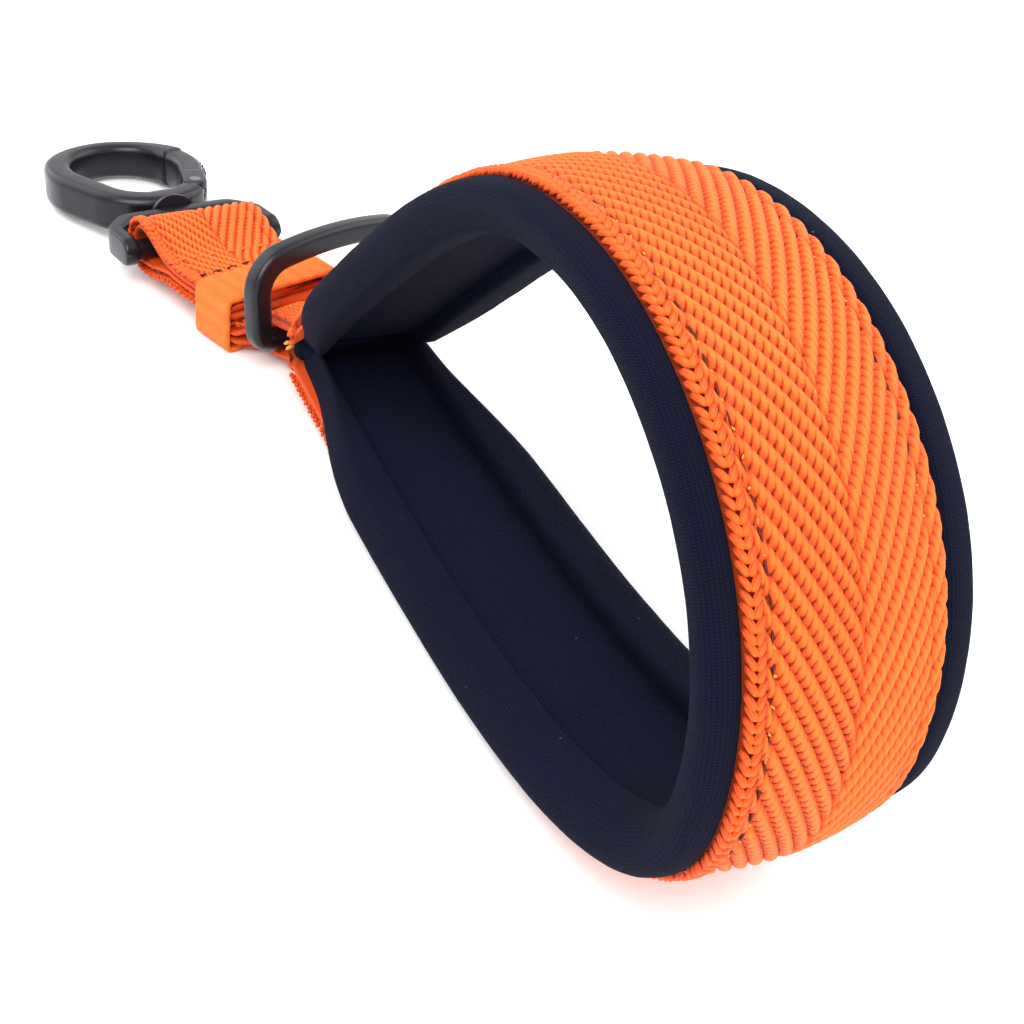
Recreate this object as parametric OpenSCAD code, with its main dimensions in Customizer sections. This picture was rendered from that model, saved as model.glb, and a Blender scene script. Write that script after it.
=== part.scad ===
// Short traffic lead: a padded webbing handle loop, a D-ring, a sewn tab and a swivel snap hook.
// Millimetres, +Z up. The handle loop stands on its lower arm, the hook lies on the same surface.
// Most shapes are set out from the joint, where the loop's two arms meet; +X runs into the loop.

/* [Webbing] */
// Width of the webbing
webbing_w = 25; // [24:0.5:26]
// Thickness of one layer of webbing
webbing_t = 2.3; // [2.1:0.1:2.4]

/* [Handle loop] */
// Height of the loop's crown
crown_z = 73.8; // [68:0.2:80]
// Distance of the crown from the joint
crown_x = 84.9; // [80:0.1:90]
// Distance of the loop's far end from the joint
far_x = 131.4; // [126:0.1:138]
// Height of the loop's far end, where the strap runs straight down
far_z = 29.8; // [26:0.1:34]
// Distance from the joint to the stretch that rests on the table
rest_x = 71.2; // [66:0.1:76]
// Slope of the upper arm where it leaves the joint
arm_slope = 45; // [42:1:48]

/* [Padding] */
// How far the padding stands out past each webbing edge
pad_overhang = 4.7; // [4:0.1:5.5]
// Thickness of the centre panel
panel_t = 2.3; // [2:0.1:2.6]
// Thickness of the rolled edges
roll_t = 4.6; // [4.2:0.1:5]
// Width of each rolled edge, seen from inside the loop
roll_w = 8.2; // [7.4:0.1:9]

/* [Tail] */
// Yaw of the tail against the handle loop
tail_yaw = 20; // [16:1:22]
// Distance from the joint to the D-ring's bar
ring_x = 12; // [11.5:0.1:12.5]
// Distance from the joint to the near face of the keeper
keeper_x = 20; // [19.8:0.1:21]
// Length of the keeper along the tail
keeper_l = 10; // [9:0.5:11]
// Distance from the joint to the hook's bar
bar_x = 50; // [49:0.5:54]

/* [D-ring] */
// Half the ring's width, to the middle of its stock
ring_half_w = 18; // [17.5:0.1:18.5]
// Depth of the ring from its bar to its crown, to the middle of its stock
ring_depth = 17; // [16:0.5:18]
// Thickness of the ring's stock
ring_stock = 4; // [3.6:0.1:4]
// Width of the ring's stock, in the plane of the ring
ring_stock_w = 4.2; // [4:0.1:5]
// How far the ring leans back towards the hook
ring_lean = 5; // [2:1:15]

/* [Swivel hook] */
// Yaw of the hook against the handle loop
hook_yaw = 11; // [8:1:14]
// Radius of the hook's far bow, to the middle of its stock
bow_r = 14; // [13.5:0.1:14.5]
// Radius of the hook's heel, to the middle of its stock
heel_r = 11; // [10.5:0.1:11.5]
// Width of the hook's stock in the plane of the bow
stock_w = 5.6; // [5.2:0.1:6]
// Height of the hook's stock
stock_h = 8; // [7.6:0.1:8]

/* [Hidden] */

// The row's origin: under the middle of the whole object, on the table.
origin_shift = [-15.9, 9.1, 0];

half_w = webbing_w / 2;
loop_steps = 24;             // steps in each of the loop outline's four curves
seam_inset = 2.5;            // stitch line from the webbing's edge
thread_t = 0.3;
top_joint_z = 13.2;          // upper face of the strap at the joint
low_joint_z = 4.5;           // lower face of the strap at the joint
orange = "darkorange";
navy = "midnightblue";
metal = "dimgray";
dark_thread = "saddlebrown";

// Heights of the layers stacked in the keeper, from its underside up
sleeve_t = 1;
sleeve_z = 0.2;
layer_z = [for (i = [0 : 4]) sleeve_z + sleeve_t + i * webbing_t];
bar_r = 2;
ring_bar_z = 5.8;
hook_bar_z = 7.6;
hook_pitch = 3.7;
tab_bend_x = 36;             // the tab turns here from the tail's yaw to the hook's

// ---- curves ----
function bezier(a, b, c, d, t) =
    pow(1 - t, 3) * a + 3 * pow(1 - t, 2) * t * b + 3 * (1 - t) * t * t * c + pow(t, 3) * d;

// Points along a chain of cubic curves, each given as [start, handle, handle, end]
function chain(curves, steps) = concat(
    [curves[0][0]],
    [for (q = curves, i = [1 : steps]) bezier(q[0], q[1], q[2], q[3], i / steps)]
);

function unit(v) = v / norm(v);

// Unit vectors square to a path, on the right of its direction of travel
function right_of(path) = let (last = len(path) - 1) [
    for (i = [0 : last])
        let (d = unit(path[min(i + 1, last)] - path[max(i - 1, 0)])) [d.y, -d.x]
];

// A closed outline between two depths to the right of a path; each depth is a list
function band(path, from, to) = let (side = right_of(path), last = len(path) - 1) concat(
    [for (i = [0 : last]) path[i] + side[i] * from[i]],
    [for (i = [last : -1 : 0]) path[i] + side[i] * to[i]]
);

// Outer face of the handle loop, from the joint over the crown and back along the table
slope = [cos(arm_slope), sin(arm_slope)];
joint_top = [0, top_joint_z];
joint_low = [0, low_joint_z];
crown = [crown_x, crown_z];
far_end = [far_x, far_z];
rest = [rest_x, 0];
loop_path = chain([
    [joint_top, joint_top + 70 * slope, crown - [23, 0], crown],
    [crown, crown + [23.4, 0], far_end + [0, 26], far_end],
    [far_end, far_end - [0, 23.8], rest + [30, 0], rest],
    [rest, rest - [32, 0], joint_low + [12, -0.9], joint_low]
], loop_steps);

// How full the padding is along the loop: pinched where the arms meet
function fullness(i) = let (
    upper = norm(loop_path[i] - joint_top) / 15,
    lower = 0.45 + norm(loop_path[i] - joint_low) / 26
) i < 2 * loop_steps ? min(1, 0.12 + upper) : min(1, lower);

function depth(flat, full = 0) = [for (i = [0 : len(loop_path) - 1]) flat + full * fullness(i)];

// ---- placing ----
module in_row() {
    translate(origin_shift) children();
}

// An outline in X and Z, given thickness from y0 to y1
module slab(y0, y1) {
    translate([0, y1, 0]) rotate([90, 0, 0]) linear_extrude(y1 - y0) children();
}

module tail_frame() {
    rotate([0, 0, tail_yaw]) children();
}

tab_bend = -tab_bend_x * [cos(tail_yaw), sin(tail_yaw), 0];

// Same axes as tail_frame, turned to the hook's yaw about the tab's bend
module tab_frame() {
    translate(tab_bend) rotate([0, 0, hook_yaw]) translate([tab_bend_x, 0, 0]) children();
}

ring_shift = 5.7;            // the ring sits this far over to the strap's far side

// X along the ring's bar, Y up the ring, Z through it
module ring_frame() {
    tail_frame() translate([-ring_x, ring_shift, ring_bar_z])
        rotate([0, 0, 90]) rotate([90 - ring_lean, 0, 0]) children();
}

// X runs from the hook's bar to its far bow, Z up through the bow's plane
module hook_frame() {
    tab_frame() translate([-bar_x, 0, hook_bar_z]) rotate([0, hook_pitch, 180]) children();
}

// ---- handle ----
upper_tail = chain([
    [[-29, layer_z[1] + webbing_t], [-26, layer_z[1] + webbing_t],
     [-24, layer_z[1] + webbing_t], [-20.5, layer_z[1] + webbing_t]],
    [[-20.5, layer_z[1] + webbing_t], [-18, layer_z[1] + webbing_t], [-16.5, 10.45], [-13.5, 10.45]],
    [[-13.5, 10.45], [-10, 10.45], [-8, top_joint_z], [-4.5, top_joint_z]],
    [[-4.5, top_joint_z], [-3, top_joint_z], [4, top_joint_z], [7, top_joint_z]]
], 6);
lower_tail = chain([
    [[7, low_joint_z], [4, low_joint_z], [-3, low_joint_z], [-4.5, low_joint_z]],
    [[-4.5, low_joint_z], [-7, low_joint_z], [-8, 1.25], [-12, 1.25]],
    [[-12, 1.25], [-16, 1.2], [-20, 1.2], [-29, 1.2]]
], 6);

module strip(path, y0, y1, thick) {
    flat = [for (p = path) 0];
    slab(y0, y1) polygon(band(path, flat, [for (p = path) thick]));
}

module handle_webbing() {
    color(orange) in_row() slab(-half_w, half_w)
        polygon(band(loop_path, depth(0), depth(webbing_t)));
}

// The same strap's two tails: cut square to the loop, and drawn in on one side past the ring
module handle_tails() {
    drawn_in = 3.6;
    color(orange) in_row() difference() {
        intersection() {
            tail_frame() {
                strip(upper_tail, -half_w, half_w, webbing_t);
                strip(lower_tail, -half_w, half_w, webbing_t);
            }
            translate([-60, -40, -1]) cube([60, 80, 30]);
        }
        tail_frame() translate([-keeper_x + 0.4, -half_w - 1, -1])
            cube([keeper_x - 4.6, 1 + drawn_in, 30]);
    }
}

// Stitches of one seam: a straight thread pulled into the face on each step of the outline
module seam_stitches(y) {
    color(dark_thread) in_row() slab(y - thread_t, y + thread_t)
        for (i = [2 : len(loop_path) - 4]) {
            run = loop_path[i + 1] - loop_path[i];
            low = loop_path[i] + run * 0.16;
            high = loop_path[i] + run * 0.82;
            into = [run.y, -run.x] / norm(run) * thread_t;
            polygon([low, high, high + into, low + into]);
        }
}

module near_seam_stitches() {
    seam_stitches(-(half_w - seam_inset));
}

module far_seam_stitches() {
    seam_stitches(half_w - seam_inset);
}

module pad_centre_panel() {
    end_gap = top_joint_z - low_joint_z - 2 * webbing_t;
    color(navy) in_row() {
        slab(-half_w, half_w) polygon(band(loop_path, depth(webbing_t), depth(webbing_t, panel_t)));
        translate([-4, -10.5, low_joint_z + webbing_t]) cube([5, 21, end_gap]);
    }
}

// One rolled edge: full depth beside the webbing, folded in over the centre panel
module edge_roll(outer_y, inner_y) {
    edge_y = sign(outer_y) * half_w;
    fold = [min(edge_y, inner_y), max(edge_y, inner_y)];
    rim = [min(edge_y, outer_y), max(edge_y, outer_y)];
    rim_mid = [min(edge_y, outer_y * 0.95), max(edge_y, outer_y * 0.95)];
    color(navy) in_row() {
        slab(fold[0], fold[1])
            polygon(band(loop_path, depth(webbing_t, panel_t), depth(webbing_t, roll_t)));
        slab(rim[0], rim[1])
            polygon(band(loop_path, depth(2, 0.4), depth(webbing_t, roll_t - 1)));
        slab(rim_mid[0], rim_mid[1])
            polygon(band(loop_path, depth(1.2, 0.1), depth(webbing_t, roll_t)));
    }
}

pad_y = half_w + pad_overhang;

module near_edge_roll() {
    edge_roll(-pad_y, -(pad_y - roll_w));
}

module far_edge_roll() {
    edge_roll(pad_y, pad_y - roll_w);
}

// Two rows of bars sewn through both arms beside the joint
module joint_bartack() {
    color(dark_thread) in_row() tail_frame()
        for (x = [-6.1, -4.7], y = [-9 : 2 : 9])
            translate([x, y - 0.7, top_joint_z + 0.02]) cube([0.5, 1.4, thread_t]);
}

// The melted end of the joint's thread, at the near side of the crease
module thread_end() {
    color(dark_thread) in_row()
        translate([-1, -12.2, 9.2]) rotate([70, 0, 20]) cylinder(h = 2.6, r = 0.75, $fn = 24);
}

// ---- tail ----
fold_in_r = 2.9;
fold_r = fold_in_r + webbing_t;
fold_c = [-bar_x - 0.3, hook_bar_z + 0.6];   // middle of the loose fold round the bar
tab_low_z = layer_z[2];
tab_top_z = layer_z[4];
tab_mid_z = (tab_low_z + tab_top_z) / 2;

// The folded strap's outline: two layers, opening into a loop round the hook's bar
tab_outline = concat(
    [[-20.6, tab_low_z], [-37, tab_low_z]],
    [for (i = [1 : 6]) bezier([-37, tab_low_z], [-42, tab_low_z],
        fold_c + [5, -fold_r], fold_c - [0, fold_r], i / 6)],
    [for (a = [-105 : -15 : -255]) fold_c + fold_r * [cos(a), sin(a)]],
    [for (i = [0 : 6]) bezier(fold_c + [0, fold_r], fold_c + [4, fold_r],
        [-43, tab_top_z], [-38.6, tab_top_z], i / 6)],
    [[-20.6, tab_top_z]]
);

module tab_webbing() {
    cut_y = 30;
    module half(tail_side) {
        intersection() {
            if (tail_side) tail_frame() slab(-half_w, half_w) polygon(tab_outline);
            else tab_frame() slab(-half_w, half_w) polygon(tab_outline);
            translate(tab_bend) rotate([0, 0, (tail_yaw + hook_yaw) / 2])
                translate([tail_side ? -0.01 : -40, -cut_y, 0]) cube([40.01, 2 * cut_y, 30]);
        }
    }
    color(orange) in_row() difference() {
        union() {
            half(true);
            half(false);
        }
        tab_frame() {
            slab(-half_w - 2, half_w + 2) {
                translate(fold_c) circle(r = fold_in_r, $fn = 48);
                polygon([fold_c + [0, fold_in_r - 0.1], [-41.5, tab_mid_z],
                    fold_c - [0, fold_in_r - 0.1]]);
            }
        }
    }
}

// A rectangle with round corners, centred
module round_rect(w, h, r) {
    square([w - 2 * r, h], center = true);
    square([w, h - 2 * r], center = true);
    for (x = [-1, 1], y = [-1, 1])
        translate([x * (w / 2 - r), y * (h / 2 - r)]) circle(r = r, $fn = 32);
}

module keeper_sleeve() {
    inside_h = 4 * webbing_t;
    color(orange) in_row() tail_frame()
        translate([-keeper_x, 0, sleeve_z + sleeve_t + inside_h / 2]) rotate([0, -90, 0])
            linear_extrude(keeper_l) difference() {
                round_rect(inside_h + 2 * sleeve_t, webbing_w + 2 * sleeve_t, 0.9);
                square([inside_h, webbing_w], center = true);
            }
}

// A row of dark stitches across the tab, just behind the keeper
module tab_stitches() {
    color(dark_thread) in_row() tail_frame()
        for (y = [-10.2 : 3.4 : 10.2])
            translate([-keeper_x - keeper_l - 2.4, y - 1.1, tab_top_z + 0.02])
                cube([0.6, 2.2, thread_t]);
}

// The row that closes the fold round the hook's bar
module fold_stitches() {
    color(dark_thread) in_row() tab_frame()
        for (y = [-10.2 : 3.4 : 10.2])
            translate([-37.9, y - 1.1, tab_top_z + 0.02]) cube([0.6, 2.2, thread_t]);
}

// ---- stock bent into closed rings ----
function arc(centre, r, from, to, n) =
    [for (i = [0 : n]) let (a = from + (to - from) * i / n) centre + r * [cos(a), sin(a)]];

// Ring of bar stock with eased edges: three nested plates, each lower one wider.
// The children draw the ring's outline grown by $grow.
module eased_ring(width, height, ease) {
    for (step = [[0, 1], [0.3, 0.3], [1, 0]]) {
        half = width / 2 - ease * step[1];
        linear_extrude(height - 2 * ease * step[0], center = true) difference() {
            let ($grow = half) children();
            let ($grow = -half) children();
        }
    }
}

// ---- D-ring ----
shoulder_r = 6.4;
crown_r = 80;
foot_r = 3.4;
foot_x = ring_half_w - foot_r;
shoulder_x = ring_half_w - shoulder_r;
crown_y = ring_depth - crown_r;
shoulder_y = crown_y + sqrt(pow(crown_r - shoulder_r, 2) - pow(shoulder_x, 2));
shoulder_a = atan2(shoulder_y - crown_y, shoulder_x);

function ring_outline(grow) = concat(
    arc([foot_x, foot_r], foot_r + grow, -90, 0, 6),
    arc([shoulder_x, shoulder_y], shoulder_r + grow, 0, shoulder_a, 8),
    arc([0, crown_y], crown_r + grow, shoulder_a, 180 - shoulder_a, 16),
    arc([-shoulder_x, shoulder_y], shoulder_r + grow, 180 - shoulder_a, 180, 8),
    arc([-foot_x, foot_r], foot_r + grow, 180, 270, 6)
);

module d_ring() {
    color(metal) in_row() ring_frame() {
        difference() {
            eased_ring(ring_stock_w, ring_stock, 0.9) polygon(ring_outline($grow));
            translate([-foot_x, -5, -5]) cube([2 * foot_x, 5 + foot_r, 10]);
        }
        translate([-foot_x - 0.8, 0, 0]) rotate([0, 90, 0])
            cylinder(h = 2 * foot_x + 1.6, r = ring_stock / 2 - 0.1, $fn = 48);
    }
}

// ---- swivel hook ----
arm_in = 14;                 // inner face of each bail arm from the middle
arm_out = 17;
bail_h = 5.6;
bridge_x = [8.6, 12.2];      // the bail's cross-piece
bail_outer = [[0, arm_out], [7, arm_out], [bridge_x[1], 11.8]];
bail_inner = [[-bail_h, arm_in], [5.4, arm_in], [bridge_x[0], 10.8]];
rivet_r = 2.2;
rivet_head_r = 2.9;
running_gap = 0.05;
washer_x = [12.3, 13.1];
neck_r = 4.6;
heel_x = 16.2 + heel_r;      // middle of the heel's curve
bow_x = 50 - bow_r;          // middle of the far bow's curve
lean_a = asin((bow_r - heel_r) / (bow_x - heel_x));
mouth_x = 24.2;              // where the gate leaves its fork
pivot = [21.8, -9.7];
mouth_r = 18.9;              // the mouth ends on an arc about the pivot
pin_r = 1.2;
tang_z = [-1.7, 0.4];        // the tang that the gate's fork straddles
cheek_z = 2;                 // inner face of each cheek of the fork
gate_gap = 0.3;

// An outline drawn on one side of the X axis, carried on round the other
function both_sides(half) =
    concat(half, [for (i = [len(half) - 1:-1:0]) [half[i][0], -half[i][1]]]);

module swivel_bail() {
    color(metal) in_row() hook_frame() difference() {
        union() {
            for (side = [0, 1]) mirror([0, side, 0]) translate([0, arm_in, 0])
                rotate([-90, 0, 0]) cylinder(h = arm_out - arm_in, r = bail_h / 2, $fn = 64);
            translate([0, 0, -bail_h / 2]) linear_extrude(bail_h) difference() {
                polygon(both_sides(bail_outer));
                polygon(both_sides(bail_inner));
            }
        }
        translate([0, -arm_out - 1, 0]) rotate([-90, 0, 0])
            cylinder(h = 2 * arm_out + 2, r = bar_r, $fn = 64);
        translate([bridge_x[0] - 1, 0, 0]) rotate([0, 90, 0])
            cylinder(h = 6, r = rivet_r + running_gap, $fn = 64);
    }
}

module bail_bar() {
    color(metal) in_row() hook_frame() translate([0, -arm_out, 0]) rotate([-90, 0, 0])
        cylinder(h = 2 * arm_out, r = bar_r, $fn = 64);
}

module swivel_rivet() {
    color("gray") in_row() hook_frame() rotate([0, 90, 0]) {
        translate([0, 0, 6.7]) cylinder(h = 1.75, r = rivet_head_r, $fn = 64);
        translate([0, 0, 8]) cylinder(h = 10.6, r = rivet_r, $fn = 64);
    }
}

module swivel_washer() {
    color("silver") in_row() hook_frame() translate([washer_x[0], 0, 0]) rotate([0, 90, 0])
        difference() {
            cylinder(h = washer_x[1] - washer_x[0], r = neck_r + 0.3, $fn = 64);
            translate([0, 0, -1]) cylinder(h = 3, r = rivet_r + running_gap, $fn = 64);
        }
}

function bow_outline(grow) = concat(
    arc([bow_x, 0], bow_r + grow, -90 - lean_a, 90 + lean_a, 36),
    arc([heel_x, 0], heel_r + grow, 90 + lean_a, 270 - lean_a, 24)
);

module closed_bow() {
    eased_ring(stock_w, stock_h, 1.2) polygon(bow_outline($grow));
}

// All the gate's side of the bow out to a radius about the pivot
module mouth(from_x, r) {
    intersection() {
        translate([from_x, -30, -10]) cube([20, 24, 20]);
        translate([pivot.x, pivot.y, -10]) cylinder(h = 20, r = r, $fn = 128);
    }
}

module hook_body() {
    reach = 30;
    color(metal) in_row() hook_frame() difference() {
        union() {
            closed_bow();
            translate([washer_x[1], 0, 0]) rotate([0, 90, 0])
                cylinder(h = 4.5, r = neck_r, $fn = 64);
        }
        // the mouth, and the notch each side of the tang that carries the gate
        mouth(mouth_x, mouth_r);
        translate([18.6, -reach, tang_z[1]]) cube([8, reach - 6, 10]);
        translate([18.6, -reach, tang_z[0] - 10]) cube([8, reach - 6, 10]);
        translate([pivot.x, pivot.y, -10]) cylinder(h = 20, r = pin_r, $fn = 48);
        translate([washer_x[1] - 1, 0, 0]) rotate([0, 90, 0])
            cylinder(h = 6.5, r = rivet_r, $fn = 64);
    }
}

// The sprung gate: a stretch of the bow with a fork at its foot and a ribbed thumb pad outside
module gate() {
    cheek_h = stock_h / 2 - cheek_z;
    color("darkslategray") in_row() hook_frame() difference() {
        union() {
            intersection() {
                closed_bow();
                mouth(mouth_x + gate_gap, mouth_r - gate_gap);
            }
            for (z = [cheek_z, -stock_h / 2]) translate([pivot.x, pivot.y, z]) {
                cylinder(h = cheek_h, r = 2.6, $fn = 48);
                rotate([0, 0, -20]) translate([0, -2.4, 0]) cube([5, 4.8, cheek_h]);
            }
            for (x = [28.6 : 2 : 36.6]) translate([x, -17.3, -2.6]) cube([1, 3, 5.2]);
        }
        translate([pivot.x, pivot.y, -10]) cylinder(h = 20, r = pin_r + running_gap, $fn = 48);
        translate([pivot.x, pivot.y, -cheek_z]) cylinder(h = 2 * cheek_z, r = 4, $fn = 64);
    }
}

module gate_pin() {
    color("silver") in_row() hook_frame() translate([pivot.x, pivot.y, -stock_h / 2])
        cylinder(h = stock_h, r = pin_r, $fn = 48);
}

// The wound spring that shuts the gate, two turns round the pin above the tang
module gate_spring() {
    wire_r = 0.25;
    color("silver") in_row() hook_frame() translate([pivot.x, pivot.y, 0])
        for (z = [0.75, 1.35]) translate([0, 0, z])
            rotate_extrude($fn = 48) translate([1.6, 0]) circle(r = wire_r, $fn = 16);
}

handle_webbing();
handle_tails();
pad_centre_panel();
near_edge_roll();
far_edge_roll();
near_seam_stitches();
far_seam_stitches();
joint_bartack();
thread_end();
tab_webbing();
keeper_sleeve();
tab_stitches();
fold_stitches();
d_ring();
swivel_bail();
bail_bar();
swivel_rivet();
swivel_washer();
hook_body();
gate();
gate_pin();
gate_spring();
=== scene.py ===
"""Short traffic lead: the looks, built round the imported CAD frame.

All shapes are set out in millimetres in the "joint frame": X = 0 where the handle loop's two arms
meet, +X into the loop, the table at z = 0. at_row() turns that into the row frame in metres.
"""
import math

import bmesh
import bpy
import numpy as np
from mathutils import Matrix, Vector


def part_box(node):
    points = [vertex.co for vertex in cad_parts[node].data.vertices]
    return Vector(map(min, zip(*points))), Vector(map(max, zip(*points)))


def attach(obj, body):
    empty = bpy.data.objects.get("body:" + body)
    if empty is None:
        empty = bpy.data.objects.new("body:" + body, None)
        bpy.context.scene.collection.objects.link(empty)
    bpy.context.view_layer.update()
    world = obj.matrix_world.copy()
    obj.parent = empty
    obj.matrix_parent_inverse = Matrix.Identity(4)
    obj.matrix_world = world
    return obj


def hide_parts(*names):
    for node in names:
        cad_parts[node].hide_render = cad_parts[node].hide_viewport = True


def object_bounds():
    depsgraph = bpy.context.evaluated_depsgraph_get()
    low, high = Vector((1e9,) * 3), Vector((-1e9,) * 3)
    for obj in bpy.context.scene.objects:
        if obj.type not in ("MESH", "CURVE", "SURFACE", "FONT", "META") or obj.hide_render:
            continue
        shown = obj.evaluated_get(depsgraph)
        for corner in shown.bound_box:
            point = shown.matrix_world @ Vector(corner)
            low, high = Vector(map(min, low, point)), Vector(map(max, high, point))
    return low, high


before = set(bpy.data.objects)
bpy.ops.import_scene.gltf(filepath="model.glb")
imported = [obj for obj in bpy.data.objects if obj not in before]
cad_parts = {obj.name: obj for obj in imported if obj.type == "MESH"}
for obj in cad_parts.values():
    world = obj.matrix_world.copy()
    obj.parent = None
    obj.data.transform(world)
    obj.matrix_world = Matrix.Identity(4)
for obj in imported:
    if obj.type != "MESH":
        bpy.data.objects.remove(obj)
cad_low, cad_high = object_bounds()

MM = 0.001
TAU = 2 * math.pi

# ---------------------------------------------------------------- sizes, as in the CAD source
WEB_W, WEB_T = 25.0, 2.3
HALF_W = WEB_W / 2
FAR_X = 131.4
TAIL_YAW, HOOK_YAW = 20.0, 11.0
TAB_BEND_X = 36.0
RIB = 3.4                    # pitch of the webbing's ribs along the strap
PLY, TWIST = 1.08, 1.15       # pitch of the twist along a rib, and how far it leans across one
LEAN = math.radians(30)      # a rib's angle to the strap
KEEPER_X, KEEPER_L, SLEEVE_T, SLEEVE_Z = 20.0, 10.0, 1.0, 0.2
LAYER_Z = [SLEEVE_Z + SLEEVE_T + i * WEB_T for i in range(5)]
BAR_X, BAR_Z, HOOK_PITCH = 50.0, 7.6, 3.7
RING_X, RING_SHIFT, RING_Z, RING_LEAN = 12.0, 5.7, 5.8, 5.0
SEAM_Y = HALF_W - 2.5

web_low, web_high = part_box("handle_webbing")
SHIFT = np.array([web_high.x / MM - FAR_X, (web_low.y + web_high.y) / 2 / MM, 0.0])


def at_row(points):
    """Joint frame, mm, to row frame, m."""
    return (np.asarray(points, float) + SHIFT) * MM


# ---------------------------------------------------------------- small maths
def rot(axis, degrees):
    return np.array(Matrix.Rotation(math.radians(degrees), 4, axis))


def move(x, y, z):
    return np.array(Matrix.Translation((x, y, z)))


def apply(m, points):
    p = np.asarray(points, float)
    return p @ m[:3, :3].T + m[:3, 3]


def smooth(x, low, high):
    t = np.clip((np.asarray(x, float) - low) / (high - low), 0, 1)
    return t * t * (3 - 2 * t)


def bezier(a, b, c, d, n):
    t = np.linspace(0, 1, n)[:, None]
    a, b, c, d = (np.array(p, float) for p in (a, b, c, d))
    return (1 - t) ** 3 * a + 3 * (1 - t) ** 2 * t * b + 3 * (1 - t) * t * t * c + t ** 3 * d


def join_curves(parts):
    return np.vstack([parts[0]] + [p[1:] for p in parts[1:]])


def resample(points, step=None, count=None):
    gaps = np.r_[0, np.cumsum(np.linalg.norm(np.diff(points, axis=0), axis=1))]
    n = count or max(2, int(round(gaps[-1] / step)) + 1)
    at = np.linspace(0, gaps[-1], n)
    return np.stack([np.interp(at, gaps, points[:, k]) for k in range(points.shape[1])], 1)


def soften(points, sigma, step):
    """Gaussian blur of an evenly sampled path, ends kept."""
    r = int(4 * sigma / step)
    kernel = np.exp(-0.5 * (np.arange(-r, r + 1) * step / sigma) ** 2)
    kernel /= kernel.sum()
    out = []
    for k in range(points.shape[1]):
        c = points[:, k]
        head = 2 * c[0] - c[r:0:-1]
        tail = 2 * c[-1] - c[-2:-r - 2:-1]
        out.append(np.convolve(np.r_[head, c, tail], kernel, "valid"))
    return np.stack(out, 1)


def wobble(x, seed, scale):
    """Smooth noise along x, about -1 to 1."""
    r = np.random.default_rng(seed)
    return sum(
        np.sin(np.asarray(x) / scale * f + r.uniform(0, TAU)) * a
        for f, a in ((1.0, 0.5), (2.3, 0.3), (4.9, 0.2))
    )


# ---------------------------------------------------------------- meshes
def new_object(name, verts, faces, uvs=None, painted_light=None, weld=False):
    """A closed smooth-shaded mesh. verts are joint-frame mm; uvs are one pair per face corner."""
    verts = at_row(verts)
    tri = np.vstack([faces[:, [0, 1, 2]], faces[faces[:, 3] >= 0][:, [0, 2, 3]]])
    a, b, c = (verts[tri[:, k]] for k in range(3))
    if np.einsum("ij,ij->i", a, np.cross(b, c)).sum() < 0:
        quad = faces[:, 3] >= 0
        turned = faces.copy()
        turned[quad] = faces[quad][:, ::-1]
        turned[~quad, :3] = faces[~quad][:, 2::-1]
        if uvs is not None:
            turned_uv = uvs.copy()
            turned_uv[quad] = uvs[quad][:, ::-1]
            turned_uv[~quad, :3] = uvs[~quad][:, 2::-1]
            uvs = turned_uv
        faces = turned
    mesh = bpy.data.meshes.new(name)
    rows = [f[:3] if f[3] < 0 else f for f in faces.tolist()]
    mesh.from_pydata(verts.tolist(), [], rows)
    if uvs is not None:
        layer = mesh.uv_layers.new(name="Weave")
        keep = np.ones(faces.shape, bool)
        keep[:, 3] = faces[:, 3] >= 0
        layer.data.foreach_set("uv", uvs[keep].astype(np.float32).ravel())
    # painted light: a point value that the webbing material turns into painted shade and painted
    # highlight
    if painted_light is not None:
        mesh.attributes.new("painted_light", "FLOAT", "POINT").data.foreach_set(
            "value", np.asarray(painted_light, np.float32))
    if weld:
        bm = bmesh.new()
        bm.from_mesh(mesh)
        bmesh.ops.remove_doubles(bm, verts=bm.verts, dist=2e-7)
        bm.to_mesh(mesh)
        bm.free()
    mesh.polygons.foreach_set("use_smooth", [True] * len(mesh.polygons))
    mesh.update()
    obj = bpy.data.objects.new(name, mesh)
    bpy.context.scene.collection.objects.link(obj)
    return obj


def tube_faces(n, m, loop, start=0):
    """Quads of n rings of m points, closed round each ring, and round the path too if loop."""
    i = np.arange(n if loop else n - 1)[:, None]
    j = np.arange(m)[None, :]
    i2, j2 = (i + 1) % n, (j + 1) % m
    return start + np.stack(np.broadcast_arrays(i * m + j, i2 * m + j, i2 * m + j2, i * m + j2),
                            -1).reshape(-1, 4)


def tube(rings, along, around, loop=False, start=0):
    """(verts, faces, uvs) of a tube with flat capped ends; uv is (around, along) in mm."""
    rings = np.asarray(rings, float)
    n, m, _ = rings.shape
    verts = rings.reshape(-1, 3)
    faces = tube_faces(n, m, loop, start)
    girth = around[-1] + np.linalg.norm(rings[0, 0] - rings[0, -1])
    us = np.r_[around, girth]
    last = along[-1] + (np.linalg.norm(rings[0] - rings[-1], axis=1).mean() if loop else 0)
    vs = np.r_[along, last] if loop else along
    gu, gv = np.meshgrid(us, vs)
    g = np.stack([gu, gv], -1)
    uvs = np.stack([g[:-1, :-1], g[1:, :-1], g[1:, 1:], g[:-1, 1:]], 2).reshape(-1, 4, 2)
    if not loop:
        extra, extra_uv, centres = [], [], []
        for ring, base, flip in ((0, 0, False), (n - 1, (n - 1) * m, True)):
            centre = start + n * m + len(centres)
            centres.append(rings[ring].mean(0))
            for j in range(m):
                a, b = start + base + j, start + base + (j + 1) % m
                extra.append([centre, b, a, -1] if flip else [centre, a, b, -1])
                extra_uv.append([[0, 0], [0.2, 0], [0.2, 0.2], [0, 0]])
        verts = np.vstack([verts, centres])
        faces = np.vstack([faces, extra])
        uvs = np.concatenate([uvs, np.array(extra_uv, float)])
    return verts, faces, uvs


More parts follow.
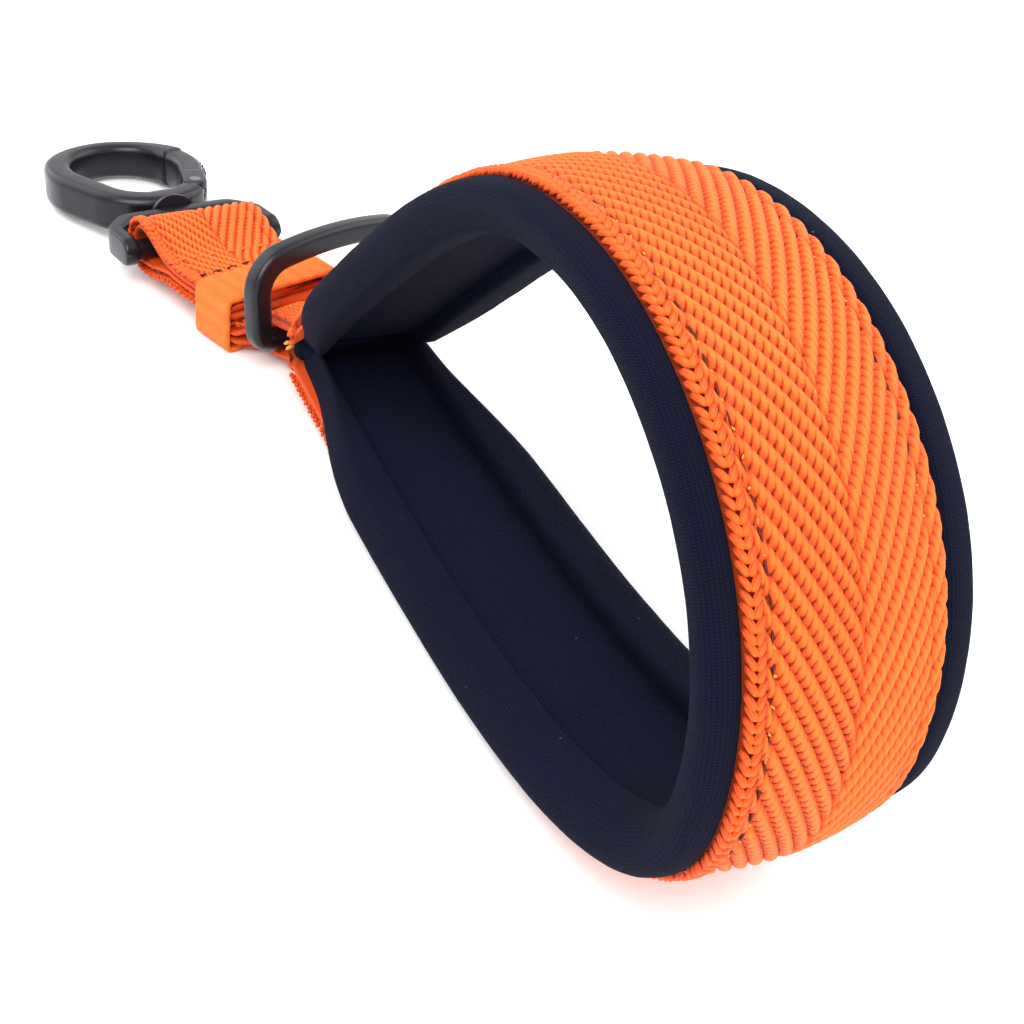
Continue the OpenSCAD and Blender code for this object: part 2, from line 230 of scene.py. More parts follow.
class Bundle:
    """Several closed shapes in one mesh."""

    def __init__(self):
        self.v, self.f, self.u, self.h, self.n = [], [], [], [], 0

    def add(self, rings, along=None, around=None, loop=False, painted_light=None):
        rings = np.asarray(rings, float)
        n, m, _ = rings.shape
        if along is None:
            c = rings.mean(1)
            along = np.r_[0, np.cumsum(np.linalg.norm(np.diff(c, axis=0), axis=1))]
        if around is None:
            r = rings[n // 2]
            around = np.r_[0, np.cumsum(np.linalg.norm(np.diff(r, axis=0), axis=1))]
        v, f, u = tube(rings, np.asarray(along), np.asarray(around), loop)
        tri = np.vstack([f[:, :3], f[f[:, 3] >= 0][:, [0, 2, 3]]])
        a, b, c = (v[tri[:, k]] - v.mean(0) for k in range(3))
        if np.einsum("ij,ij->i", a, np.cross(b, c)).sum() < 0:
            quad = f[:, 3] >= 0
            t, w = f.copy(), u.copy()
            t[quad], w[quad] = f[quad][:, ::-1], u[quad][:, ::-1]
            t[~quad, :3], w[~quad, :3] = f[~quad][:, 2::-1], u[~quad][:, 2::-1]
            f, u = t, w
        g = f + self.n
        g[f < 0] = -1
        h = np.full(len(v), 1.0)
        if painted_light is not None:
            h[:n * m] = np.asarray(painted_light).ravel()
        self.v.append(v), self.f.append(g), self.u.append(u), self.h.append(h)
        self.n += len(v)
        return self

    def make(self, name, weld=False):
        verts, faces = np.vstack(self.v), np.vstack(self.f)
        return new_object(name, verts, faces, np.concatenate(self.u), np.concatenate(self.h), weld)


def frames_along(path, up, loop=False):
    """Tangent, side and up vectors along a 3-D path, with a steady up hint."""
    if loop:
        t = np.roll(path, -1, 0) - np.roll(path, 1, 0)
    else:
        t = np.gradient(path, axis=0)
    t /= np.linalg.norm(t, axis=1)[:, None]
    side = np.cross(np.broadcast_to(up, t.shape), t)
    side /= np.linalg.norm(side, axis=1)[:, None]
    return t, side, np.cross(t, side)


def rounded(width, height, radius, n=6):
    """A rounded rectangle, as points (side, up); n points in each corner."""
    pts = []
    for cx, cy, a0 in ((1, 1, 0), (-1, 1, 90), (-1, -1, 180), (1, -1, 270)):
        for k in range(n):
            a = math.radians(a0 + 90 * k / (n - 1))
            pts.append([cx * (width / 2 - radius) + radius * math.cos(a),
                        cy * (height / 2 - radius) + radius * math.sin(a)])
    return np.array(pts)


def sweep(path, up, section, loop=False):
    """Rings of a section, (side, up) pairs or one set per path point, along a path."""
    path = np.asarray(path, float)
    _, side, top = frames_along(path, np.array(up, float), loop)
    sec = np.asarray(section, float)
    if sec.ndim == 2:
        sec = np.broadcast_to(sec, (len(path),) + sec.shape)
    return path[:, None, :] + sec[..., :1] * side[:, None, :] + sec[..., 1:] * top[:, None, :]


def capsule(a, b, bulge, r, sides=7, rings=5, taper=0.55, flat=1.0):
    """A short thread bent between two points, bulging by a vector at its middle."""
    a, b, bulge = (np.array(p, float) for p in (a, b, bulge))
    t = np.linspace(0, 1, rings)
    path = a + (b - a) * t[:, None] + bulge * (4 * t * (1 - t))[:, None]
    up = bulge / max(np.linalg.norm(bulge), 1e-9)
    ang = np.arange(sides) / sides * TAU
    circle = np.stack([np.cos(ang), np.sin(ang) * flat], 1) * r
    size = taper + (1 - taper) * np.sqrt(np.clip(1 - (2 * t - 1) ** 4, 0, 1))
    return sweep(path, up, circle[None] * size[:, None, None])


# ---------------------------------------------------------------- materials
def hexless(r, g, b):
    """An sRGB colour, 0 to 255, as linear RGBA."""
    def lin(c):
        c /= 255
        return c / 12.92 if c <= 0.04045 else ((c + 0.055) / 1.055) ** 2.4
    return (lin(r), lin(g), lin(b), 1.0)


class Nodes:
    """A material's node tree with a Principled shader, and short ways to add nodes."""

    def __init__(self, name, roughness=0.6, metallic=0.0, **sockets):
        self.material = bpy.data.materials.new(name)
        self.material.use_nodes = True
        self.tree = self.material.node_tree
        self.shader = self.tree.nodes["Principled BSDF"]
        self.shader.inputs["Roughness"].default_value = roughness
        self.shader.inputs["Metallic"].default_value = metallic
        for key, value in sockets.items():
            self.shader.inputs[key.replace("_", " ")].default_value = value

    def link(self, out, socket):
        self.tree.links.new(out, socket)

    def node(self, kind, inputs=(), **props):
        n = self.tree.nodes.new(kind)
        for k, v in props.items():
            setattr(n, k, v)
        for k, v in dict(inputs).items():
            if isinstance(v, bpy.types.NodeSocket):
                self.link(v, n.inputs[k])
            else:
                n.inputs[k].default_value = v
        return n

    def maths(self, op, a, b=0.0, c=0.0):
        return self.node("ShaderNodeMath", {0: a, 1: b, 2: c}, operation=op).outputs[0]

    def coords(self):
        return self.node("ShaderNodeTexCoord").outputs["Object"]

    def uv(self):
        return self.node("ShaderNodeUVMap", uv_map="Weave").outputs["UV"]

    def noise(self, scale, detail=2.0, vector=None, roughness=0.5):
        inputs = {"Scale": scale, "Detail": detail, "Roughness": roughness,
                  "Vector": vector or self.coords()}
        return self.node("ShaderNodeTexNoise", inputs).outputs["Fac"]

    def ramp(self, fac, *stops):
        n = self.node("ShaderNodeValToRGB", {"Fac": fac})
        e = n.color_ramp.elements
        while len(e) < len(stops):
            e.new(0.5)
        for k, (pos, col) in enumerate(stops):
            e[k].position, e[k].color = pos, col
        return n.outputs["Color"]

    def mix(self, fac, a, b, blend="MIX"):
        n = self.node("ShaderNodeMix", data_type="RGBA", blend_type=blend)
        for sock, v in ((n.inputs[0], fac), (n.inputs[6], a), (n.inputs[7], b)):
            if isinstance(v, bpy.types.NodeSocket):
                self.link(v, sock)
            else:
                sock.default_value = v
        return n.outputs[2]

    def bump(self, height, distance, strength=1.0, normal=None):
        inputs = {"Height": height, "Distance": distance, "Strength": strength}
        if normal is not None:
            inputs["Normal"] = normal
        return self.node("ShaderNodeBump", inputs).outputs["Normal"]

    def finish(self, colour=None, roughness=None, normal=None):
        for value, key in ((colour, "Base Color"), (roughness, "Roughness"), (normal, "Normal")):
            if value is not None:
                self.link(value, self.shader.inputs[key])
        return self.material


def scaled(nodes, vector, x, y, z=1.0):
    return nodes.node("ShaderNodeVectorMath", {0: vector, 1: (x, y, z)},
                      operation="MULTIPLY").outputs[0]


def webbing_material(name, crest, deep, highlight_colour):
    """Twisted polyester cord: filaments along the plies, soft sheen; painted shade in the rib valleys
    and ply creases, painted highlight on the rib tops.
    """
    n = Nodes(name, 0.52, Sheen_Weight=0.12, Sheen_Roughness=0.45, Specular_IOR_Level=0.3)
    n.shader.inputs["Sheen Tint"].default_value = hexless(255, 190, 130)
    painted_light = n.node("ShaderNodeAttribute", attribute_name="painted_light").outputs["Fac"]
    patch = n.noise(90.0, 3.0)
    fleck = n.noise(2600.0, 2.0)
    # painted light: the ramp paints shade (the deep colour) in the rib valleys and a highlight (the top
    # colour) on the rib tops
    base = n.ramp(painted_light, (0.0, deep), (0.55, crest), (1.0, highlight_colour))
    base = n.mix(n.maths("MULTIPLY", patch, 0.2), base, crest)
    base = n.mix(n.maths("MULTIPLY", fleck, 0.22), base, highlight_colour)
    fibres = n.noise(1.0, 3.0, scaled(n, n.uv(), 9.0, 2.2), 0.6)
    # creases between the twisted plies of each rib, painted as shade in the colour and dented in the
    # bump: u runs across the strap, v from rib to rib
    split = n.node("ShaderNodeSeparateXYZ", {0: n.uv()})
    phase = n.maths("DIVIDE", split.outputs[1], RIB)
    f = n.maths("SUBTRACT", n.maths("FRACT", phase), 0.5)
    ply = n.maths("MULTIPLY_ADD", n.maths("SUBTRACT", HALF_W, split.outputs[0]),
                  1 / (math.sin(LEAN) * PLY), n.maths("MULTIPLY", f, TWIST))
    ply = n.maths("MULTIPLY_ADD", n.maths("FLOOR", phase), 0.37, ply)
    edge = n.maths("ABSOLUTE", n.maths("MULTIPLY_ADD", n.maths("FRACT", ply), 2.0, -1.0))
    crease = n.maths("POWER", edge, 5.0)
    on_face = n.maths("LESS_THAN", split.outputs[0], HALF_W)
    crease = n.maths("MULTIPLY", crease, on_face)
    side = n.maths("MAXIMUM", n.maths("MULTIPLY_ADD", f, 1.5, 0.12), n.maths("MULTIPLY", f, -0.9))
    crease = n.maths("MULTIPLY", crease, n.maths("MAXIMUM", side, 0.1))
    # painted shade: the ply creases are mixed toward the deep colour
    base = n.mix(n.maths("MULTIPLY", crease, 1.25), base, deep)
    rough = n.maths("MULTIPLY_ADD", fibres, 0.25, 0.42)
    relief = n.bump(n.maths("MULTIPLY", crease, -1.0), 0.0005, 0.8)
    return n.finish(base, rough, n.bump(fibres, 0.00022, 0.5, relief))


def knit_material(name, base_colour, stitch_highlight_colour):
    """Fine jersey over foam: rows of V stitches along the strap, their tops painted lighter as highlight
    and the gaps darker as shade, with a little lint.
    """
    n = Nodes(name, 0.9, Sheen_Weight=0.03, Sheen_Roughness=0.4, Specular_IOR_Level=0.1)
    n.shader.inputs["Sheen Tint"].default_value = hexless(120, 130, 170)
    split = n.node("ShaderNodeSeparateXYZ", {0: n.uv()})
    u = n.maths("DIVIDE", split.outputs[0], 0.5)
    v = n.maths("DIVIDE", split.outputs[1], 0.36)
    across = n.maths("SUBTRACT", n.maths("FRACT", u), 0.5)
    lean = n.maths("ABSOLUTE", across)
    course = n.maths("SINE", n.maths("MULTIPLY", n.maths("ADD", v, n.maths("MULTIPLY", lean, 1.5)), TAU))
    wale = n.maths("COSINE", n.maths("MULTIPLY", across, math.pi))
    stitch = n.maths("MULTIPLY", n.maths("MULTIPLY_ADD", wale, 0.8, 0.2),
                     n.maths("MULTIPLY_ADD", course, 0.5, 0.5))
    height = n.maths("MULTIPLY_ADD", n.noise(1500.0, 2.0), 0.35, stitch)
    # painted light: the stitch tops take the painted highlight colour, the gaps keep the darker base as
    # painted shade
    tone = n.mix(n.maths("MULTIPLY", stitch, 0.9), base_colour, stitch_highlight_colour)
    tone = n.mix(n.maths("MULTIPLY", n.noise(60.0, 2.0), 0.35), tone, base_colour)
    lint = n.node("ShaderNodeTexVoronoi", {"Vector": n.coords(), "Scale": 260.0})
    speck = n.maths("LESS_THAN", lint.outputs["Distance"], 0.045)
    pick = n.node("ShaderNodeSeparateXYZ", {0: lint.outputs["Color"]}).outputs[0]
    speck = n.maths("MULTIPLY", speck, n.maths("GREATER_THAN", pick, 0.6))
    tone = n.mix(n.maths("MULTIPLY", speck, 0.3), tone, hexless(120, 118, 110))
    return n.finish(tone, None, n.bump(height, 0.00022, 1.0))


def metal_material(name, colour, light, roughness, metallic, grain=0.00002, wear=0.25, scale=900.0):
    n = Nodes(name, roughness, metallic, Coat_Weight=0.15, Coat_Roughness=0.25)
    patch, fine = n.noise(220.0, 3.0), n.noise(scale, 3.0)
    tone = n.mix(n.maths("MULTIPLY", patch, wear), colour, light)
    tone = n.mix(n.maths("MULTIPLY", fine, wear * 0.5), tone, light)
    rough = n.maths("MULTIPLY_ADD", n.noise(420.0, 2.0), 0.22, roughness - 0.1)
    return n.finish(tone, rough, n.bump(fine, grain, 0.6))


def thread_material(name, colour, light):
    n = Nodes(name, 0.6, Specular_IOR_Level=0.3)
    twist = n.noise(1.0, 2.0, scaled(n, n.uv(), 6.0, 3.0))
    tone = n.mix(n.maths("MULTIPLY", twist, 0.8), colour, light)
    return n.finish(tone, None, n.bump(twist, 0.00008, 0.8))


# webbing colours: crest, then deep as painted shade in the valleys and creases, then the painted
# highlight on the rib tops
ORANGE = webbing_material("orange_webbing", hexless(230, 74, 10), hexless(122, 16, 0),
                          hexless(246, 110, 30))
ORANGE_TAPE = webbing_material("orange_tape", hexless(238, 90, 14), hexless(214, 62, 6),
                               hexless(246, 112, 26))
# knit colours: the dark base, then the painted highlight on the stitch tops
KNIT = knit_material("neoprene_knit", hexless(2, 3, 14), hexless(26, 30, 66))
BLACK = metal_material("gunmetal", hexless(22, 23, 29), hexless(46, 48, 58), 0.30, 0.6)
BLACK_FINE = metal_material("gunmetal_gate", hexless(34, 36, 43), hexless(66, 68, 78), 0.34, 0.6)
STEEL = metal_material("pin_steel", hexless(120, 122, 128), hexless(176, 178, 184), 0.32, 0.95)
SPRING = metal_material("spring_steel", hexless(150, 152, 156), hexless(200, 202, 206), 0.25, 1.0)
THREAD = thread_material("dark_thread", hexless(50, 16, 4), hexless(112, 46, 12))
# gold: the thread's frayed end, and the painted glints by the seam's stitch holes
GOLD_THREAD_AND_GLINT = thread_material("gold_glint", hexless(190, 120, 30), hexless(255, 205, 110))
ORANGE_THREAD = thread_material("orange_thread", hexless(226, 84, 18), hexless(250, 130, 50))


def dress(obj, material, body, slot, *nodes):
    obj.data.materials.clear()
    obj.data.materials.append(material)
    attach(obj, body)
    if nodes:
        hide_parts(*nodes)
    return obj


# ---------------------------------------------------------------- the strap's line
STEP = 0.1
TOP_Z, LOW_Z = 13.2, 4.5
slope = np.array([math.cos(math.radians(45)), math.sin(math.radians(45))])
joint_top, joint_low = np.array([0, TOP_Z]), np.array([0, LOW_Z])
crown, far_end, rest = np.array([84.9, 73.8]), np.array([FAR_X, 29.8]), np.array([71.2, 0.0])
loop_line = join_curves([
    bezier(joint_top, joint_top + 70 * slope, crown - [23, 0], crown, 400),
    bezier(crown, crown + [23.4, 0], far_end + [0, 26], far_end, 400),
    bezier(far_end, far_end - [0, 23.8], rest + [30, 0], rest, 400),
    bezier(rest, rest - [32, 0], joint_low + [12, -0.9], joint_low, 400),
])
upper_z = LAYER_Z[1] + WEB_T
upper_line = join_curves([
    np.array([[-29.0, upper_z], [-20.5, upper_z]]),
    bezier([-20.5, upper_z], [-18, upper_z], [-16.5, 10.45], [-13.5, 10.45], 60),
    bezier([-13.5, 10.45], [-10, 10.45], [-6, TOP_Z - 1.4], [0, TOP_Z], 60),
])
lower_line = join_curves([
    bezier([0, LOW_Z], [-4, 4.4], [-8, 1.25], [-12, 1.25], 60),
    np.array([[-12.0, 1.25], [-29.0, 1.2]]),
])


class Line:
    """A strap's outer face in its own upright plane: distance along it to point and inward normal."""

    def __init__(self, points, sigma=1.1):
        pts = soften(resample(points, STEP), sigma, STEP) if sigma else resample(points, STEP)
        self.p = pts
        gaps = np.linalg.norm(np.diff(pts, axis=0), axis=1)
        self.s = np.r_[0, np.cumsum(gaps)]
        d = np.gradient(pts, axis=0)
        d /= np.linalg.norm(d, axis=1)[:, None]
        self.n = np.stack([d[:, 1], -d[:, 0]], 1)
        self.length = self.s[-1]
        self.crown = 0 * self.s

    def at(self, s, y, depth, turn):
        """Points s along, y across and depth below the outer face, then turned into place."""
        s = np.clip(s, 0, self.length)
        bow = np.interp(s, self.s, self.crown) * np.clip(1 - (np.asarray(y) / HALF_W) ** 2, 0, 1)
        depth = depth - bow * (1 - smooth(depth, 2.5, 6.0))
        px, pz = (np.interp(s, self.s, self.p[:, k]) for k in (0, 1))
        nx, nz = (np.interp(s, self.s, self.n[:, k]) for k in (0, 1))
        return turn(np.stack([px + nx * depth, y + 0 * px, pz + nz * depth], -1))

    def find(self, x, upper):
        """Distance along at which the line first (or last) reaches x."""
        hits = np.nonzero(self.p[:, 0] >= x)[0]
        return self.s[hits[0]] if upper else self.s[hits[-1]]


def turn_tail(p):
    """Turns everything behind the joint to the tail's yaw, its near edge drawn in by the ring."""
    a = math.radians(TAIL_YAW) * (1 - smooth(p[..., 0], -3.5, 3.0))
    x, y = p[..., 0], p[..., 1]
    y = y + 3.9 * smooth(-x, 3.0, 7.5) * (1 - smooth(-x, 16.5, 19.5)) * smooth(-y, 2, 12.5)
    return np.stack([x * np.cos(a) - y * np.sin(a), x * np.sin(a) + y * np.cos(a), p[..., 2]], -1)


def turn_tab(p):
    """Turns the tab to the tail's yaw, and past its bend to the hook's."""
    x, y = p[..., 0], p[..., 1]
    a1, a2 = math.radians(TAIL_YAW), math.radians(HOOK_YAW)
    bx, by = -TAB_BEND_X * math.cos(a1), -TAB_BEND_X * math.sin(a1)
    near = np.stack([x * math.cos(a1) - y * math.sin(a1), x * math.sin(a1) + y * math.cos(a1)], -1)
    dx = x + TAB_BEND_X
    far = np.stack([bx + dx * math.cos(a2) - y * math.sin(a2),
                    by + dx * math.sin(a2) + y * math.cos(a2)], -1)
    w = smooth(-x, TAB_BEND_X - 3, TAB_BEND_X + 3)[..., None]
    return np.concatenate([near * (1 - w) + far * w, p[..., 2:]], -1)


strap = Line(join_curves([upper_line, loop_line, lower_line]))
S_IN, S_OUT = strap.find(0, True), strap.find(0, False)
# bent round the loop, the strap bows out across its width, but not where it rests on the table
strap.crown = 1.5 * smooth(strap.s - S_IN, 3, 30) * smooth(S_OUT - strap.s, 8, 40)
strap.crown = np.minimum(strap.crown, 0.9 * np.clip(strap.p[:, 1] - 0.3, 0, None))

# ---------------------------------------------------------------- webbing
EDGE_R = 0.95
BACK_Y = [8.0, 4.0, 0.0]     # points across the plain back
SIDE = 0.55                  # flat part of the edge between its two curves


def rib_height(s, a, half, seed):
    """Height of the ribbed face, mm, at s along and a across from the centreline."""
    a = np.asarray(a, float)
    drift = 0.03 * wobble(s, seed, 9.0)
    phase = (s - (HALF_W - a) / math.tan(LEAN)) / RIB + (0.5 if half > 0 else 0.0) + drift
    number = np.floor(phase)
    f = phase - number - 0.5
    body = np.sqrt(np.clip(1 - (2 * np.abs(f)) ** 2.1 * 0.97, 0, 1))
    u = (HALF_W - a) / math.sin(LEAN)
    ply = u / PLY + f * TWIST + 0.37 * number
    g = np.abs(2 * (ply - np.floor(ply)) - 1)
    knot = np.sqrt(np.clip(1 - g ** 2.2 * 0.96, 0, 1))
    side = smooth(np.abs(f), 0.08, 0.46)
    bite = 0.13 + 0.40 * side + 0.14 * smooth(-f, 0.1, 0.45)
    each = 1 + 0.07 * np.sin(number * 12.9898 + seed)
    height = 0.86 * body * each - bite * (1 - knot)
    # the two halves dive together at the centreline, and each seam pulls its line down
    height -= 0.22 * np.exp(-((a / 0.45) ** 2))
    height -= 0.30 * np.exp(-(((a - SEAM_Y) / 0.34) ** 2))
    return height


def ribbed_half(line, half, turn, chain_edge, seed, across=0.165, along=8):
    """Rings for half of a strap's width: ribbed face, edge, and a plain back."""
    flat = np.linspace(0, HALF_W - EDGE_R, int(round((HALF_W - EDGE_R) / across)) + 1)
    bend = np.linspace(0, math.pi / 2, 9)[1:]
    y = np.r_[flat, HALF_W - EDGE_R + EDGE_R * np.sin(bend)]
    d = np.r_[flat * 0, EDGE_R * (1 - np.cos(bend))]
    ny, nd = np.r_[flat * 0, np.sin(bend)], np.r_[flat * 0 - 1, -np.cos(bend)]
    a = np.r_[flat, flat[-1] + EDGE_R * bend]
    back_bend = np.linspace(0, math.pi / 2, 5)
    low = WEB_T - 0.3
    y = np.r_[y, HALF_W - 0.5 + 0.5 * np.cos(back_bend), BACK_Y]
    d = np.r_[d, low - 0.5 + 0.5 * np.sin(back_bend), low, low, low]
    ny = np.r_[ny, np.cos(back_bend), 0, 0, 0]
    nd = np.r_[nd, np.sin(back_bend), 1, 1, 1]
    a = np.r_[a, a[-1] + SIDE + 0.5 * back_bend, a[-1] + 5, a[-1] + 9, a[-1] + 13]
    reach = HALF_W / math.tan(LEAN)
    count = int(math.ceil((line.length + reach) / RIB * along))
    start = np.arange(count + 1) * RIB / along - reach
    # each column of points follows the ribs' lean on the face, and on the back too
    lean_at = np.minimum(a, HALF_W)
    lean_at[len(flat) + 13:] = BACK_Y
    s = np.clip(start[:, None] + (HALF_W - lean_at) / math.tan(LEAN), 0, line.length)
    top = smooth(-a, -(HALF_W + 1.3), -(HALF_W + 0.2))
    h = rib_height(s, np.broadcast_to(a, s.shape), half, seed)
    if chain_edge:
        under = smooth(a, HALF_W - 1.75, HALF_W - 1.35)
        h = h * (1 - under) + (-0.10) * under
    proud = (h - 0.66) * top
    # painted light: 0 in the rib valleys (painted shade) up to 1 on the crests (painted highlight); off
    # the ribbed face a fixed 0.35
    painted_light = np.clip((h + 0.05) / 0.88, 0, 1) * top + 0.35 * (1 - top)
    yy = half * (y + ny * proud * np.where(a > HALF_W - 1.2, 1.25, 1.0))
    dd = d + nd * proud
    rings = line.at(s, yy, dd, turn)
    around = np.r_[0, np.cumsum(np.hypot(np.diff(y), np.diff(d)))]
    return rings, start + (RIB / 2 if half > 0 else 0), around, painted_light


def make_webbing(name, line, half, turn, chain_edge, seed, **kw):
    rings, along, around, painted_light = ribbed_half(line, half, turn, chain_edge, seed, **kw)
    return Bundle().add(rings, along, around, painted_light=painted_light).make(name, weld=True)


webbing_near = make_webbing("webbing_near", strap, -1, turn_tail, True, 3)
webbing_far = make_webbing("webbing_far", strap, 1, turn_tail, False, 3)
dress(webbing_near, ORANGE, "lead", "orange_webbing", "handle_webbing", "handle_tails")
dress(webbing_far, ORANGE, "lead", "orange_webbing")


def plaited_edge(name, line, turn, start, end, pitch=1.27):
    """The knitted selvedge: a chain of V links along one edge."""
    b = Bundle()
    for k in range(int((end - start) / pitch)):
        s = start + k * pitch + 0.12 * math.sin(k * 7.1) + 0.08 * math.sin(k * 2.3)
        jig, fat = 0.09 * math.sin(k * 3.7), 1 + 0.12 * math.sin(k * 5.3)
        legs = (([s - 0.82, -12.80 + jig, 0.50], [s + 0.74, -12.06 + jig, -0.02], 0.42 * fat),
                ([s - 0.74, -11.02 + jig, 0.10], [s + 0.82, -11.84, -0.06], 0.45))
        for a, c, r in legs:
            p, q = line.at(a[0], a[1], a[2], turn), line.at(c[0], c[1], c[2], turn)
            mid = line.at((a[0] + c[0]) / 2, (a[1] + c[1]) / 2 - 0.06, -0.16, turn)
            base = line.at((a[0] + c[0]) / 2, (a[1] + c[1]) / 2, (a[2] + c[2]) / 2, turn)
            # painted shade and highlight: each link runs from a dark start, where it dips under the
            # face, to a light end
            tone = np.linspace(0.25, 1.0, 6)[:, None] * np.ones((1, 7))
            b.add(capsule(p, q, (mid - base), r, rings=6), painted_light=tone)
    return b.make(name)


chain = plaited_edge("selvedge_chain", strap, turn_tail, S_IN - 5, S_OUT + 2)
dress(chain, ORANGE, "lead", "orange_webbing")


# ---------------------------------------------------------------- seams
def seam(name, side, node, seed):
    """Dark lock stitches lying in their groove, each with gold flecks at its hole that are painted
    glints (painted highlights).
    """
    dark, painted_glints = Bundle(), Bundle()
    r = np.random.default_rng(seed)
    deep = 0.50 if side < 0 else 0.64
    for s in np.arange(S_IN + 5, S_OUT - 5, 3.0):
        y = side * SEAM_Y + r.uniform(-0.05, 0.05)
        a = strap.at(s + 0.25, y, deep, turn_tail)
        b = strap.at(s + 2.45, y + r.uniform(-0.08, 0.08), deep, turn_tail)
        out = strap.at(s + 1.3, y, deep - 0.22, turn_tail) - strap.at(s + 1.3, y, deep, turn_tail)
        dark.add(capsule(a, b, out, 0.15, rings=7, taper=0.4))
        # painted highlights: two small gold capsules by each stitch hole stand in for glints
        for _ in range(2):
            at, dy = s + 2.75 + r.uniform(-0.25, 0.25), r.uniform(-0.2, 0.2)
            p = strap.at(at - 0.14, y + dy, deep - 0.1, turn_tail)
            q = strap.at(at + 0.14, y + dy + r.uniform(-0.1, 0.1), deep - 0.12, turn_tail)
            painted_glints.add(capsule(p, q, out * 0.8, 0.09, sides=6, rings=4))
    dress(dark.make(name), THREAD, "lead", "thread", node)
    dress(painted_glints.make(name + "_painted_glints"), GOLD_THREAD_AND_GLINT, "lead", "thread")


seam("seam_near", -1, "near_seam_stitches", 5)
seam("seam_far", 1, "far_seam_stitches", 6)


# ---------------------------------------------------------------- padding
def closed_spline(points, n):
    """A smooth closed curve through the points, evenly resampled to n."""
    p = np.array(points, float)
    out = []
    for k in range(len(p)):
        a, b, c, d = p[k - 1], p[k], p[(k + 1) % len(p)], p[(k + 2) % len(p)]
        t = np.linspace(0, 1, 12, endpoint=False)[:, None]
        out.append(0.5 * (2 * b + (c - a) * t + (2 * a - 5 * b + 4 * c - d) * t ** 2
                          + (3 * b - a - 3 * c + d) * t ** 3))
    return resample(np.vstack(out + [out[0][:1]]), count=n + 1)[:-1]


def fullness(s):
    return np.clip(0.45 + 0.107 * np.minimum(s - S_IN, S_OUT - s), 0.3, 1)


def narrowing(s):
    """How far the padding's edges are drawn in towards the joint, mm."""
    upper = np.interp(s - S_IN, [0, 5, 10, 16, 24], [6.4, 5.0, 3.1, 1.3, 0])
    lower = np.interp(S_OUT - s, [0, 12, 20, 26.5, 33, 41], [6.6, 5.6, 3.8, 2.2, 0.9, 0])
    return soften(np.maximum(upper, lower)[:, None], 2.0, 0.8)[:, 0]


def pad_rings(section, s, seed, wave=0.10):
    """A padding section (y, depth) carried round the loop, thinner and narrower by the joint."""
    full = fullness(s)[:, None]
    y, d = section[:, 0][None], section[:, 1][None]
    lift = np.where(d > WEB_T, WEB_T + (d - WEB_T) * full, d)
    y = y - np.where(y < 0, -1, 0.75) * narrowing(s)[:, None] * smooth(np.abs(y), 7, 17)
    swell = wave * wobble(s, seed, 11.0)[:, None] * smooth(np.abs(d - WEB_T), 1.0, 4.0)
    swell = swell + 0.05 * wobble(s, seed + 7, 4.0)[:, None] * smooth(np.abs(y), 13, 17)
    return strap.at(np.broadcast_to(s[:, None], lift.shape), y * (1 + 0.002 * swell), lift + swell,
                    turn_tail)


pad_s = np.arange(S_IN - 0.8, S_OUT + 0.8, 0.8)
near_shape = [[9.1, 4.7], [9.0, 5.6], [9.5, 6.55], [10.6, 6.9], [12.8, 6.95], [14.3, 6.7],
              [15.4, 5.7], [16.3, 4.3], [16.8, 3.0], [16.65, 1.8], [15.9, 0.9], [14.6, 0.45],
              [13.5, 0.4], [12.95, 0.8], [12.4, 1.8], [10.5, 2.4], [9.4, 3.4]]
far_shape = [[9.1, 4.7], [9.0, 5.6], [9.5, 6.55], [10.6, 6.9], [13.0, 6.95], [15.2, 6.8],
             [16.7, 5.9], [17.5, 4.4], [17.75, 3.0], [17.6, 1.9], [16.9, 1.0], [15.3, 0.55],
             [13.8, 0.5], [13.0, 0.9], [12.4, 1.8], [10.5, 2.4], [9.4, 3.4]]


def make_roll(name, side, shape, node, seed):
    section = closed_spline(shape, 44) * [side, 1]
    around = np.r_[0, np.cumsum(np.linalg.norm(np.diff(section, axis=0), axis=1))]
    obj = Bundle().add(pad_rings(section, pad_s, seed), pad_s, around).make(name)
    dress(obj, KNIT, "lead", "neoprene", node)
    return obj


make_roll("pad_roll_near", -1, near_shape, "near_edge_roll", 21)
make_roll("pad_roll_far", 1, far_shape, "far_edge_roll", 31)

ys = np.linspace(-10.4, 10.4, 40)
panel_section = np.vstack([
    np.stack([ys, 4.6 + 0.18 * np.cos(ys / 10.4 * math.pi / 2)], 1),
    [[10.5, 4.2], [10.5, 2.8], [10.2, 2.4]],
    np.stack([np.linspace(8, -8, 5), np.full(5, 2.35)], 1),
    [[-10.2, 2.4], [-10.5, 2.8], [-10.5, 4.2]],
])
panel_around = np.r_[0, np.cumsum(np.linalg.norm(np.diff(panel_section, axis=0), axis=1))]
panel = Bundle().add(pad_rings(panel_section, pad_s, 41, 0.12), pad_s, panel_around).make("pad_panel")
dress(panel, KNIT, "lead", "neoprene", "pad_centre_panel")

# where the two arms are sewn together, the padding is squeezed into a thin web between them
web_path = [[x, 0, 8.9] for x in np.linspace(-3.6, 2.6, 10)]
web_sections = []
for x in np.linspace(-3.6, 2.6, 10):
    tall = 4.3 - 1.0 * smooth(x, 0.5, 2.6)
    web_sections.append(rounded(22.6 - 1.6 * smooth(x, 0, 2.6), tall, min(1.6, tall / 2 - 0.1), 7))
web_rings = sweep(web_path, [0, 0, 1], web_sections)
web_piece = Bundle().add(turn_tail(web_rings)).make("pad_web")
dress(web_piece, KNIT, "lead", "neoprene")

